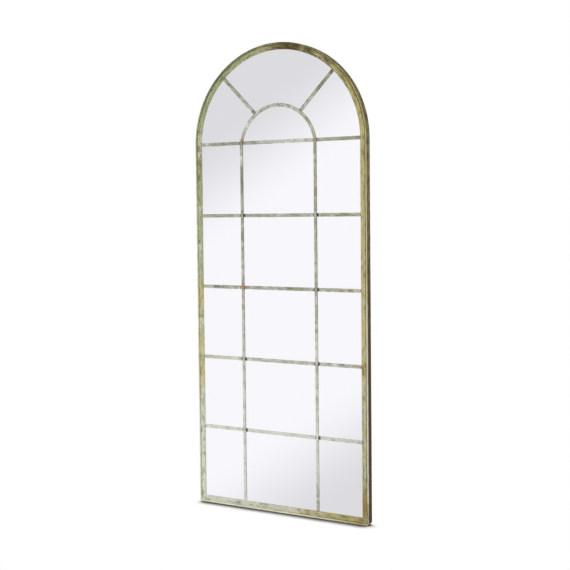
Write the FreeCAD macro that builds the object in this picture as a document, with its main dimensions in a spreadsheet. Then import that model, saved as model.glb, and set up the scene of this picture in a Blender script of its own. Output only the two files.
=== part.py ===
"""Arched garden mirror: a welded window frame of flat steel bar over one sheet of mirror glass.

Millimetres. X runs to the right, Y to the back and Z up. The origin is at the middle of the base,
half way through the depth, so the front lip of the rim lies at -overall_depth / 2.
"""
import FreeCAD
import Part
import Sketcher
import math
import os
import re

SIZES = {
    # Whole mirror, over the rim
    "overall_height": 1600.0,
    "overall_width": 664.0,
    "overall_depth": 26.0,
    # Rim: flat bar set on edge all the way round
    "rim_thickness": 5.0,
    "rim_edge_round": 1.5,
    "corner_round": 4.0,
    # Face bars: flat bar inside the rim, set back behind its lip
    "face_width": 19.0,
    "face_thickness": 3.0,
    "face_recess": 3.0,
    "bar_edge_round": 0.9,
    # Cross bars, the small arch and the fan are one flat section
    "bar_thickness": 3.0,
    "row_count": 5,
    "row_bar_width": 12.0,
    # Uprights are thicker and lie over the cross bars
    "upright_offset": 143.0,
    "upright_width": 10.0,
    "upright_thickness": 5.0,
    # Fanlight in the round head
    "small_arch_rise": 123.0,
    "small_arch_width": 12.0,
    "fan_bar_width": 12.0,
    "fan_lean": 44.4,
    "fan_aim_rise": 9.0,
    # Weld beads beside the uprights at each crossing
    "weld_leg": 1.6,
    "weld_length": 9.0,
    # Glazing behind the bars
    "tape_thickness": 1.0,
    "tape_width": 12.0,
    "glass_thickness": 4.0,
    "glass_clearance": 2.0,
    "foam_thickness": 2.0,
    "panel_thickness": 3.0,
    # Bent tabs that hold the back panel
    "tab_thickness": 2.0,
    "tab_width": 20.0,
    "tab_reach": 18.0,
    "tab_rise": 7.0,
    "side_tab_count": 5,
    "base_tab_count": 2,
    "arch_tab_count": 5,
    # Keyhole plates for hanging
    "hanger_thickness": 3.0,
    "hanger_reach": 32.0,
    "hanger_height": 56.0,
    "hanger_corner_round": 4.0,
    "hanger_drop": 45.0,
    "keyhole_radius": 6.0,
    "keyhole_rise": 18.0,
    "keyhole_slot_width": 6.5,
    "keyhole_travel": 14.0,
}
SIZE_NAME = re.compile(r"\b(" + "|".join(SIZES) + r")\b")

# Places worked out from the sizes, as formulas in their names
SPRING = "(overall_height - overall_width / 2)"
RIM_INSIDE = "(overall_width / 2 - rim_thickness)"
OPENING = "(overall_width / 2 - rim_thickness - face_width)"
SILL = "(rim_thickness + face_width)"
SEAT = "(face_recess + face_thickness - overall_depth / 2)"
GLASS_FRONT = "(%s + tape_thickness)" % SEAT
GLASS_BACK = "(%s + glass_thickness)" % GLASS_FRONT
FOAM_BACK = "(%s + foam_thickness)" % GLASS_BACK
PANEL_BACK = "(%s + panel_thickness)" % FOAM_BACK
ROW_PITCH = "((%s - %s) / row_count)" % (SPRING, SILL)
SMALL_RADIUS = "((upright_offset ^ 2 + small_arch_rise ^ 2) / (2 * small_arch_rise))"
SMALL_CENTRE = "(%s + small_arch_rise - %s)" % (SPRING, SMALL_RADIUS)

# Two rounded edges of one wall leave a flat between them, and a single one stays inside its wall
PAIR_SHARE = 0.45
SINGLE_SHARE = 0.9
PAIR_ROUND = "min(%%s; %g * %%s)" % PAIR_SHARE
RIM_ROUND = PAIR_ROUND % ("rim_edge_round", "rim_thickness")
FACE_ROUND = PAIR_ROUND % ("bar_edge_round", "face_thickness")
BAR_ROUND = PAIR_ROUND % ("bar_edge_round", "bar_thickness")
UPRIGHT_ROUND = PAIR_ROUND % ("bar_edge_round", "upright_thickness")
PLATE_ROUND = PAIR_ROUND % ("hanger_corner_round", "hanger_height")
CORNER_ROUND = "min(corner_round; %g * rim_thickness)" % SINGLE_SHARE

ALONG_X = FreeCAD.Vector(1, 0, 0)
ALONG_Y = FreeCAD.Vector(0, 1, 0)
ALONG_Z = FreeCAD.Vector(0, 0, 1)
HALF_TURN = 180
QUARTER_TURN = 90
TOUCH = 1e-6

doc = FreeCAD.newDocument("GardenMirror")


def add_sheet():
    """Write every size to its own named cell."""
    sheet = doc.addObject("Spreadsheet::Sheet", "Sizes")
    for row, (name, value) in enumerate(SIZES.items(), start=1):
        sheet.set("A%d" % row, name)
        sheet.set("B%d" % row, str(value))
        sheet.setAlias("B%d" % row, name)
    doc.recompute()


def bind(thing, place, formula):
    """Tie one property to a formula written in the names of the sizes."""
    thing.setExpression(place, SIZE_NAME.sub(r"Sizes.\1", formula))


def put(thing, across="0", back="0", up="0"):
    """Place a piece by the formulas of its own origin."""
    for axis, formula in zip("xyz", (across, back, up)):
        bind(thing, "Placement.Base." + axis, formula)
    return thing


def new_body(label):
    """Start a body that is named for its piece."""
    body = doc.addObject("PartDesign::Body", label)
    body.Label = label
    return body


def new_sketch(body, role):
    """Add a sketch on one of the body's own planes."""
    sketch = body.newObject("Sketcher::SketchObject", body.Label + "_sketch")
    plane = [item for item in body.Origin.OriginFeatures if item.Role == role][0]
    sketch.AttachmentSupport = [(plane, "")]
    sketch.MapMode = "FlatFace"
    return sketch


def fix_point(sketch, curve, end, across, up):
    """Hold a point of a sketch at two formulas, measured from the sketch's origin."""
    point = sketch.getPoint(curve, end)
    for kind, axis, formula, now in (("DistanceX", -2, across, point.x), ("DistanceY", -1, up, point.y)):
        if formula == "0":
            sketch.addConstraint(Sketcher.Constraint("PointOnObject", curve, end, axis))
        else:
            number = sketch.addConstraint(Sketcher.Constraint(kind, -1, 1, curve, end, now))
            bind(sketch, "Constraints[%d]" % number, formula)


def polygon(body, role, corners):
    """Draw a closed outline whose corners are pairs of formulas, anticlockwise."""
    sketch = new_sketch(body, role)
    count = len(corners)
    turns = [2 * math.pi * (i + 0.5) / count - math.pi for i in range(count)]
    rough = [FreeCAD.Vector(2 + math.cos(turn), 2 + math.sin(turn), 0) for turn in turns]
    for i in range(count):
        sketch.addGeometry(Part.LineSegment(rough[i], rough[(i + 1) % count]), False)
    for i in range(count):
        sketch.addConstraint(Sketcher.Constraint("Coincident", i, 2, (i + 1) % count, 1))
    for i, (across, up) in enumerate(corners):
        fix_point(sketch, i, 1, across, up)
    return sketch


def rectangle(body, role, width, height, across="0", up="0"):
    """Draw a rectangle from its lower left corner."""
    right = width if across == "0" else "%s + %s" % (across, width)
    top = height if up == "0" else "%s + %s" % (up, height)
    return polygon(body, role, [(across, up), (right, up), (right, top), (across, top)])


def circle(body, role, radius, across, up):
    """Draw a circle about a centre given by formulas."""
    sketch = new_sketch(body, role)
    sketch.addGeometry(Part.Circle(FreeCAD.Vector(2, 2, 0), ALONG_Z, 1.0), False)
    fix_point(sketch, 0, 3, across, up)
    number = sketch.addConstraint(Sketcher.Constraint("Radius", 0, 1.0))
    bind(sketch, "Constraints[%d]" % number, radius)
    return sketch


def pad(body, sketch, length, midplane=False):
    """Raise a sketch to a thickness."""
    feature = body.newObject("PartDesign::Pad", body.Label + "_pad")
    feature.Profile = sketch
    feature.Midplane = midplane
    bind(feature, "Length", length)
    doc.recompute()
    return feature


def pocket(body, sketch, depth):
    """Cut a sketch into a body whose solid lies on the normal's side of it."""
    before = body.Shape.Volume
    feature = body.newObject("PartDesign::Pocket", body.Label + "_pocket")
    feature.Profile = sketch
    feature.Reversed = True
    bind(feature, "Length", depth)
    doc.recompute()
    if not body.Shape.Volume < before:
        raise RuntimeError("a pocket cut nothing from " + body.Label)
    return feature


def round_edges(body, feature, radius, wanted):
    """Round the edges of a body's last feature that the test picks out."""
    names = ["Edge%d" % i for i, edge in enumerate(feature.Shape.Edges, start=1) if wanted(edge)]
    fillet = body.newObject("PartDesign::Fillet", body.Label + "_fillet")
    fillet.Base = (feature, names)
    bind(fillet, "Radius", radius)
    doc.recompute()
    return fillet


def runs_along(edge, direction):
    """Tell whether an edge is straight and runs in a direction."""
    return isinstance(edge.Curve, Part.Line) and abs(edge.Curve.Direction.dot(direction)) > 1 - TOUCH


def front_edges(feature, direction=None):
    """Pick out the front edges in a direction, or the round ones if none is given."""
    front = feature.Shape.BoundBox.YMin

    def wanted(edge):
        on_front = edge.BoundBox.YMax < front + TOUCH
        if direction is None:
            return on_front and isinstance(edge.Curve, Part.Circle)
        return on_front and runs_along(edge, direction)

    return wanted


def mirrored(source, label):
    """Make the right-hand piece from the left-hand one."""
    piece = doc.addObject("Part::Mirroring", label)
    piece.Label = label
    piece.Source = source
    piece.Normal = ALONG_X
    return piece


def flat_bar(label, width, height, thickness, rounding, direction):
    """Make a straight bar with its two long front edges eased."""
    body = new_body(label)
    feature = pad(body, rectangle(body, "XZ_Plane", width, height), thickness)
    round_edges(body, feature, rounding, front_edges(feature, direction))
    return body


def bent_bar(label, inside, width, thickness):
    """Bend a bar over a half circle about its own origin."""
    body = new_body(label)
    section = rectangle(body, "XY_Plane", width, thickness, across=inside)
    bend = body.newObject("PartDesign::Revolution", label + "_bend")
    bend.Profile = section
    bend.ReferenceAxis = (section, ["V_Axis"])
    bend.Angle = HALF_TURN
    bend.Reversed = True
    doc.recompute()
    return body, bend


def build_rim():
    """Make the rim: two sides with rounded lower corners, a base between them and the round head."""
    left = new_body("rim_left")
    side = pad(left, rectangle(left, "XZ_Plane", "rim_thickness", SPRING), "overall_depth")

    def outer_corner(edge):
        return runs_along(edge, ALONG_Y) and edge.BoundBox.XMax < TOUCH and edge.BoundBox.ZMax < TOUCH

    corner = round_edges(left, side, CORNER_ROUND, outer_corner)
    round_edges(left, corner, RIM_ROUND, front_edges(corner, ALONG_Z))
    put(left, "-overall_width / 2", "overall_depth / 2")

    base = flat_bar("rim_bottom", "2 * " + RIM_INSIDE, "rim_thickness", "overall_depth", RIM_ROUND, ALONG_X)
    put(base, "-" + RIM_INSIDE, "overall_depth / 2")

    arch, bend = bent_bar("rim_arch", RIM_INSIDE, "rim_thickness", "overall_depth")
    round_edges(arch, bend, RIM_ROUND, front_edges(bend))
    put(arch, "0", "-overall_depth / 2", SPRING)
    return [left, mirrored(left, "rim_right"), base, arch]


def build_face():
    """Make the face bars, mitred together at the two lower corners."""
    left = new_body("face_left")
    rise = "(%s - rim_thickness)" % SPRING
    corners = [("0", "0"), ("face_width", "face_width"), ("face_width", rise), ("0", rise)]
    side = pad(left, polygon(left, "XZ_Plane", corners), "face_thickness")
    round_edges(left, side, FACE_ROUND, front_edges(side, ALONG_Z))
    put(left, "-" + RIM_INSIDE, SEAT, "rim_thickness")

    base = new_body("face_bottom")
    length = "2 * " + RIM_INSIDE
    corners = [("0", "0"), (length, "0"),
               (length + " - face_width", "face_width"), ("face_width", "face_width")]
    strip = pad(base, polygon(base, "XZ_Plane", corners), "face_thickness")
    round_edges(base, strip, FACE_ROUND, front_edges(strip, ALONG_X))
    put(base, "-" + RIM_INSIDE, SEAT, "rim_thickness")

    arch, bend = bent_bar("face_arch", OPENING, "face_width", "face_thickness")
    round_edges(arch, bend, FACE_ROUND, front_edges(bend))
    put(arch, "0", SEAT + " - face_thickness", SPRING)
    return [left, mirrored(left, "face_right"), base, arch]


def row_height(row):
    """Give the formula for the middle of a cross bar; row 1 is the lowest."""
    return "%s + %d * %s" % (SILL, row, ROW_PITCH)


def build_rows():
    """Make the cross bars, which end against the face bars; the top one is the spring bar."""
    bars = []
    for row in range(1, SIZES["row_count"] + 1):
        label = "spring_bar" if row == SIZES["row_count"] else "row_bar_%d" % row
        bar = flat_bar(label, "2 * " + OPENING, "row_bar_width", "bar_thickness", BAR_ROUND, ALONG_X)
        bars.append(put(bar, "-" + OPENING, SEAT, row_height(row) + " - row_bar_width / 2"))
    return bars


def build_uprights():
    """Make the uprights: each stands on the base and is notched from behind over every cross bar."""
    left = new_body("upright_left")
    length = "(%s - %s + row_bar_width / 2)" % (SPRING, SILL)
    outline = rectangle(left, "XZ_Plane", "upright_width", length)
    shaft = pad(left, outline, "upright_thickness")
    round_edges(left, shaft, UPRIGHT_ROUND, front_edges(shaft, ALONG_Z))
    for row in range(1, SIZES["row_count"] + 1):
        low = "%d * %s - row_bar_width / 2" % (row, ROW_PITCH)
        notch = rectangle(left, "XZ_Plane", "upright_width", "row_bar_width", up=low)
        pocket(left, notch, "bar_thickness")
    put(left, "-upright_offset - upright_width / 2", SEAT, SILL)
    return [left, mirrored(left, "upright_right")]


def cutting_disc(label, radius, up):
    """Make a disc about the Y axis, as thick as the bars, that trims the end of a fan bar."""
    disc = doc.addObject("Part::Cylinder", label)
    disc.Placement = FreeCAD.Placement(FreeCAD.Vector(), FreeCAD.Rotation(ALONG_X, -QUARTER_TURN))
    bind(disc, "Radius", radius)
    bind(disc, "Height", "bar_thickness")
    return put(disc, "0", SEAT + " - bar_thickness", up)


def slants_on_front(feature, edge):
    """Tell whether an edge is one of a fan bar's two straight front edges."""
    front = feature.Shape.BoundBox.YMin
    return isinstance(edge.Curve, Part.Line) and edge.BoundBox.YMax < front + TOUCH


def build_fan():
    """Make the fanlight: a small arch on the spring bar and a slanting bar to each side of the head."""
    inside = "%s - small_arch_width / 2" % SMALL_RADIUS
    outside = "%s + small_arch_width / 2" % SMALL_RADIUS
    arch, bend = bent_bar("small_arch", inside, "small_arch_width", "bar_thickness")
    round_edges(arch, bend, BAR_ROUND, front_edges(bend))
    put(arch, "0", SEAT + " - bar_thickness", SMALL_CENTRE)

    foot = doc.addObject("Part::Box", "small_arch_foot")
    bind(foot, "Length", "2 * overall_width")
    bind(foot, "Width", "2 * overall_depth")
    bind(foot, "Height", "overall_height")
    put(foot, "-overall_width", "-overall_depth", SPRING + " + row_bar_width / 2 - overall_height")
    small_arch = doc.addObject("Part::Cut", "small_arch_on_spring_bar")
    small_arch.Base = arch
    small_arch.Tool = foot
    arch.Label = "small_arch_bent"
    small_arch.Label = "small_arch"

    bar = doc.addObject("Part::Box", "fan_bar_blank")
    bar.Placement = FreeCAD.Placement(FreeCAD.Vector(), FreeCAD.Rotation(-ALONG_Y, QUARTER_TURN))
    bind(bar, "Length", "overall_width / 2")
    bind(bar, "Width", "bar_thickness")
    bind(bar, "Height", "fan_bar_width")
    bind(bar, "Placement.Rotation.Angle", "%d + fan_lean" % QUARTER_TURN)
    put(bar, "fan_bar_width / 2 * cos(fan_lean)", SEAT + " - bar_thickness",
        SPRING + " + fan_aim_rise + fan_bar_width / 2 * sin(fan_lean)")
    inner_end = doc.addObject("Part::Cut", "fan_bar_coped")
    inner_end.Base = bar
    inner_end.Tool = cutting_disc("small_arch_disc", outside, SMALL_CENTRE)
    outer_end = doc.addObject("Part::Common", "fan_bar_trimmed")
    outer_end.Base = inner_end
    outer_end.Tool = cutting_disc("opening_disc", OPENING, SPRING)
    doc.recompute()
    edges = enumerate(outer_end.Shape.Edges, start=1)
    long_edges = [number for number, edge in edges if slants_on_front(outer_end, edge)]
    left = doc.addObject("Part::Fillet", "fan_bar_left")
    left.Label = "fan_bar_left"
    left.Base = outer_end
    radius = min(SIZES["bar_edge_round"], PAIR_SHARE * SIZES["bar_thickness"])
    left.Edges = [(number, radius, radius) for number in long_edges]
    return [small_arch, left, mirrored(left, "fan_bar_right")]


def group(label, members):
    """Gather like solids in one piece."""
    piece = doc.addObject("Part::Compound", label)
    piece.Label = label
    piece.Links = members
    return piece


def build_welds():
    """Make the beads that fill the corner between each upright and each cross bar, on both sides."""
    beads = []
    for row in range(1, SIZES["row_count"] + 1):
        for upright in (-1, 1):
            for side, turn in ((-1, HALF_TURN), (1, -QUARTER_TURN)):
                bead = doc.addObject("Part::Cylinder", "weld_bead")
                bead.Placement = FreeCAD.Placement(FreeCAD.Vector(), FreeCAD.Rotation(ALONG_Z, turn))
                bead.Angle = QUARTER_TURN
                bind(bead, "Radius", "weld_leg")
                bind(bead, "Height", "weld_length")
                across = "%d * upright_offset + %d * upright_width / 2" % (upright, side)
                put(bead, across, SEAT + " - bar_thickness", row_height(row) + " - weld_length / 2")
                beads.append(bead)
    return [group("crossing_welds", beads)]


def arched_sheet(label, thickness, back):
    """Make a sheet with a round head that fits inside the rim with the glass clearance."""
    body = new_body(label)
    half = "(%s - glass_clearance)" % RIM_INSIDE
    rise = "(%s - rim_thickness - glass_clearance)" % SPRING
    pad(body, rectangle(body, "XZ_Plane", "2 * " + half, rise), thickness)
    pad(body, circle(body, "XZ_Plane", half, half, rise), thickness)
    return put(body, "-" + half, back, "rim_thickness + glass_clearance"), half, rise


def build_glazing():
    """Make what lies behind the bars: tape, glass, cushion sheet and back panel."""
    tape, half, rise = arched_sheet("glazing_tape", "tape_thickness", GLASS_FRONT)
    inner_half = "(%s - tape_width)" % half
    inner_rise = "(%s - tape_width)" % rise
    window = rectangle(tape, "XZ_Plane", "2 * " + inner_half, inner_rise, "tape_width", "tape_width")
    pocket(tape, window, "tape_thickness")
    pocket(tape, circle(tape, "XZ_Plane", inner_half, half, rise), "tape_thickness")
    glass = arched_sheet("mirror_glass", "glass_thickness", GLASS_BACK)[0]
    foam = arched_sheet("foam_sheet", "foam_thickness", FOAM_BACK)[0]
    panel = arched_sheet("back_panel", "panel_thickness", PANEL_BACK)[0]
    return [tape, glass, foam, panel]


def retaining_tab(turn, across, up):
    """Make one bent tab: a leg on the rim's inner wall and a leg over the back panel."""
    body = new_body("retaining_tab")
    corners = [("0", "0"), ("tab_reach", "0"), ("tab_reach", "tab_thickness"),
               ("tab_thickness", "tab_thickness"), ("tab_thickness", "tab_rise"), ("0", "tab_rise")]
    pad(body, polygon(body, "XY_Plane", corners), "tab_width", midplane=True)
    body.Placement = FreeCAD.Placement(FreeCAD.Vector(), FreeCAD.Rotation(-ALONG_Y, turn))
    return put(body, across, PANEL_BACK, up)


def build_tabs():
    """Make the tabs up both sides, along the base and round the head, evenly spaced."""
    tabs = []
    for step in range(SIZES["side_tab_count"]):
        up = "%s * %.1f / side_tab_count" % (SPRING, step + 0.5)
        tabs.append(retaining_tab(0, "-" + RIM_INSIDE, up))
        tabs.append(retaining_tab(HALF_TURN, RIM_INSIDE, up))
    for step in range(SIZES["base_tab_count"]):
        across = "%s * (%.1f / base_tab_count - 1)" % (RIM_INSIDE, 2 * step + 1)
        tabs.append(retaining_tab(QUARTER_TURN, across, "rim_thickness"))
    seat = "sqrt(%s ^ 2 - (tab_width / 2) ^ 2)" % RIM_INSIDE
    for step in range(SIZES["arch_tab_count"]):
        turn = HALF_TURN * (step + 0.5) / SIZES["arch_tab_count"]
        across = "%s * cos(%.3f)" % (seat, turn)
        up = "%s + %s * sin(%.3f)" % (SPRING, seat, turn)
        tabs.append(retaining_tab(HALF_TURN + turn, across, up))
    return [group("retaining_tabs", tabs)]


def build_hangers():
    """Make the keyhole plates, welded to the rim's inner walls flush with its back."""
    left = new_body("hanger_plate_left")
    plate = pad(left, rectangle(left, "XZ_Plane", "hanger_reach", "hanger_height"), "hanger_thickness")

    def free_corner(edge):
        return runs_along(edge, ALONG_Y) and edge.BoundBox.XMin > TOUCH

    round_edges(left, plate, PLATE_ROUND, free_corner)
    middle = "(hanger_reach / 2)"
    slot_top = "(keyhole_rise + keyhole_travel)"
    slot_left = "(hanger_reach / 2 - keyhole_slot_width / 2)"
    pocket(left, circle(left, "XZ_Plane", "keyhole_radius", middle, "keyhole_rise"), "hanger_thickness")
    slot = rectangle(left, "XZ_Plane", "keyhole_slot_width", "keyhole_travel", slot_left, "keyhole_rise")
    pocket(left, slot, "hanger_thickness")
    pocket(left, circle(left, "XZ_Plane", "keyhole_slot_width / 2", middle, slot_top), "hanger_thickness")
    put(left, "-" + RIM_INSIDE, "overall_depth / 2", SPRING + " - hanger_drop - hanger_height")
    return [left, mirrored(left, "hanger_plate_right")]


def check(pieces):
    """Stop if any object failed or any piece is not a sound solid."""
    for thing in doc.Objects:
        if "Invalid" in thing.State or "Error" in thing.State:
            raise RuntimeError("%s failed: %s" % (thing.Label, thing.State))
    for piece in pieces:
        if piece.Shape.isNull() or not piece.Shape.isValid() or not piece.Shape.Solids:
            raise RuntimeError(piece.Label + " is not a sound solid")


def export(pieces):
    """Write each piece to its own file."""
    os.makedirs("parts", exist_ok=True)
    for piece in pieces:
        piece.Shape.exportStep("parts/%s.step" % piece.Label)
        print("%-20s %2d solids %10.0f mm3" % (piece.Label, len(piece.Shape.Solids), piece.Shape.Volume))


add_sheet()
mirror = build_rim() + build_face() + build_rows() + build_uprights() + build_fan()
mirror += build_welds() + build_glazing() + build_tabs() + build_hangers()
doc.recompute()
check(mirror)
export(mirror)
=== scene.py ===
"""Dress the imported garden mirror: hand-worked painted bars, lumpy welds, silvered glass and a closed back.

Metres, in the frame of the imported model: X to the right, Y to the back, Z up. The sizes of the pieces are
read from the frame. Finishes and hand work have theirs in millimetres, turned to metres with MM.
"""

import logging
import math
from dataclasses import dataclass
from enum import Enum
from typing import Any

import bmesh
import bpy
import numpy as np
from bpy.types import Material, Mesh, NodeSocket, NodeTree, Object
from mathutils import Matrix, Vector, noise


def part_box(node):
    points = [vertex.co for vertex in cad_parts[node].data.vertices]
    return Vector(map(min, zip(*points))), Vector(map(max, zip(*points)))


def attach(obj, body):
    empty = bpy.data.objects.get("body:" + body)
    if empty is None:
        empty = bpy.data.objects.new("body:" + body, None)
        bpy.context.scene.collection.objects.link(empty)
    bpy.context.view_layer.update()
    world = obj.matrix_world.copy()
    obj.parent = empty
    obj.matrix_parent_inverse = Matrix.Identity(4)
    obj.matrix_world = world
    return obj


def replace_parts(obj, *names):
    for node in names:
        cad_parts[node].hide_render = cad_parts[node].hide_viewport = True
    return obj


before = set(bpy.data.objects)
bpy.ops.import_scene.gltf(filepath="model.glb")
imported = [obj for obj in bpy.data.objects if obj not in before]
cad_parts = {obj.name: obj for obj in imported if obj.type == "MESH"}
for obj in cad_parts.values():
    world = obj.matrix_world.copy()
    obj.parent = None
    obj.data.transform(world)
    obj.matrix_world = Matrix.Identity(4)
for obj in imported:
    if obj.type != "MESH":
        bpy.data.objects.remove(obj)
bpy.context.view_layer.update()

MM = 0.001
# Points nearer than this are one point
SAME_PLACE = 0.001 * MM
# Faces that meet at a smaller angle are shaded as one surface
SOFT_BELOW = math.radians(38)
BODY = "root"
BAR_UV = "bar"
SPRING_BAR = "spring_bar"
ROW_NODES = ("row_bar_1", "row_bar_2", "row_bar_3", "row_bar_4", SPRING_BAR)
WHITE = "#FFFFFF"
# The inner bars change half as much from left to right as the outer frame does
INNER_DRIFT = 0.5
RIGHT, BACK, UP = Vector((1, 0, 0)), Vector((0, 1, 0)), Vector((0, 0, 1))
LOG = logging.getLogger("garden_mirror")

# Sockets of the colour mixing node, which has unlabelled ones for its other data types
MIX_FACTOR, MIX_UNDER, MIX_OVER, MIX_COLOUR = 0, 6, 7, 2

Colour = tuple[float, float, float, float]
Spot2D = tuple[float, float]
Spot3D = tuple[float, float, float]


class Wear(str, Enum):
    """Worn states, painted shade and painted highlight of every painted point, as named point attributes."""

    BLEACH = "bleach"
    YELLOW = "yellow"
    RUST = "rust"
    # Dirt, and painted shade behind the lip, on the right outer side and along the bottom edge
    DIRT_AND_SHADE = "dirt_and_shade"
    # Rubbing, and a painted highlight on the rim's front lip
    RUB_AND_HIGHLIGHT = "rub_and_highlight"


class Pattern(Enum):
    """Random fields that break the edges of the paint's layers."""

    PATCH = "patch"
    BLOTCH = "blotch"
    STREAK = "streak"
    SPECK = "speck"


class EdgeSide(Enum):
    """An edge of a bar: the low one lies at negative distances across, the high one at positive ones."""

    NONE = 0
    LOW = -1
    HIGH = 1


def linear(code: str) -> Colour:
    """Turn an sRGB hex value to a linear colour.

    Args:
        code: six hex digits after a hash.

    Returns:
        Red, green, blue and an alpha of 1.
    """
    shares = [int(code[i:i + 2], 16) / 255 for i in (1, 3, 5)]
    turned = [v / 12.92 if v <= 0.04045 else ((v + 0.055) / 1.055) ** 2.4 for v in shares]
    return (turned[0], turned[1], turned[2], 1.0)


def per_mm(size: float) -> float:
    """Give the texture scale, per metre, of a pattern whose features measure a size in millimetres."""
    return 1.0 / (size * MM)


@dataclass(frozen=True)
class Rise:
    """A smooth rise from 0 at one value to its full size at another."""

    low: float
    high: float
    size: float = 1.0

    def at(self, value: Any) -> Any:
        """Give what is reached at a number, or at each number of an array."""
        share = np.clip((value - self.low) / (self.high - self.low), 0.0, 1.0)
        return self.size * share * share * (3.0 - 2.0 * share)

    def left(self, value: Any) -> Any:
        """Give what is still to come."""
        return self.size - self.at(value)


def add_node(tree: NodeTree, kind: str, inputs: dict[Any, Any] | None = None, output: str | int = 0,
             **settings: Any) -> NodeSocket | None:
    """Add a shader node with its settings, its input values and its links.

    Args:
        tree: the node tree that takes the node.
        kind: the node's type name, without the words that all shader nodes share.
        inputs: for each input's name or number, a socket to link from, a colour's hex value or a plain value.
        output: name or number of the output that is used.
        settings: properties of the node.

    Returns:
        The output that is used, or None from a node without outputs.
    """
    node = tree.nodes.new("ShaderNode" + kind)
    for name, value in settings.items():
        setattr(node, name, value)
    for name, value in (inputs or {}).items():
        if isinstance(value, NodeSocket):
            tree.links.new(value, node.inputs[name])
        else:
            node.inputs[name].default_value = linear(value) if isinstance(value, str) else value
    return node.outputs[output] if node.outputs else None


def blend(tree: NodeTree, share: Any, under: str | NodeSocket, over: str) -> NodeSocket:
    """Lay a colour over another as far as a share says."""
    inputs = {MIX_FACTOR: share, MIX_UNDER: under, MIX_OVER: over}
    return add_node(tree, "Mix", inputs, MIX_COLOUR, data_type="RGBA")


def remap(tree: NodeTree, value: NodeSocket, span: Spot2D, onto: Spot2D = (0.0, 1.0),
          kind: str = "LINEAR") -> NodeSocket:
    """Turn the span of a value to another one, and hold its ends beyond."""
    inputs = {"Value": value, "From Min": span[0], "From Max": span[1], "To Min": onto[0], "To Max": onto[1]}
    return add_node(tree, "MapRange", inputs, interpolation_type=kind)


def new_material(name: str) -> Material:
    """Start a material whose tree is empty.

    Args:
        name: the material's common name.

    Returns:
        The material.
    """
    material = bpy.data.materials.new(name)
    material.use_nodes = True
    material.node_tree.nodes.clear()
    return material


def add_object(name: str, data: Any) -> Object:
    """Put an object in the scene.

    Args:
        name: its name.
        data: its mesh, lamp or camera.

    Returns:
        The object.
    """
    made = bpy.data.objects.new(name, data)
    bpy.context.scene.collection.objects.link(made)
    return made


@dataclass(frozen=True)
class WornSpot:
    """A worn place on the front of the frame, in millimetres from the middle of the base."""

    mark: Wear
    across: float
    up: float
    reach: float
    strength: float

    def weight(self, places: np.ndarray) -> np.ndarray:
        """Give the strength that reaches each place, one row of metres each."""
        gap = np.hypot(places[:, 0] / MM - self.across, places[:, 2] / MM - self.up) / self.reach
        return self.strength * np.clip(1.0 - gap ** 2, 0.0, 1.0)


def worn(mark: Wear, *spots: tuple[float, float, float, float]) -> list[WornSpot]:
    """Give worn spots of one kind from their places across and up, their reaches and their strengths."""
    return [WornSpot(mark, *spot) for spot in spots]
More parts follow.
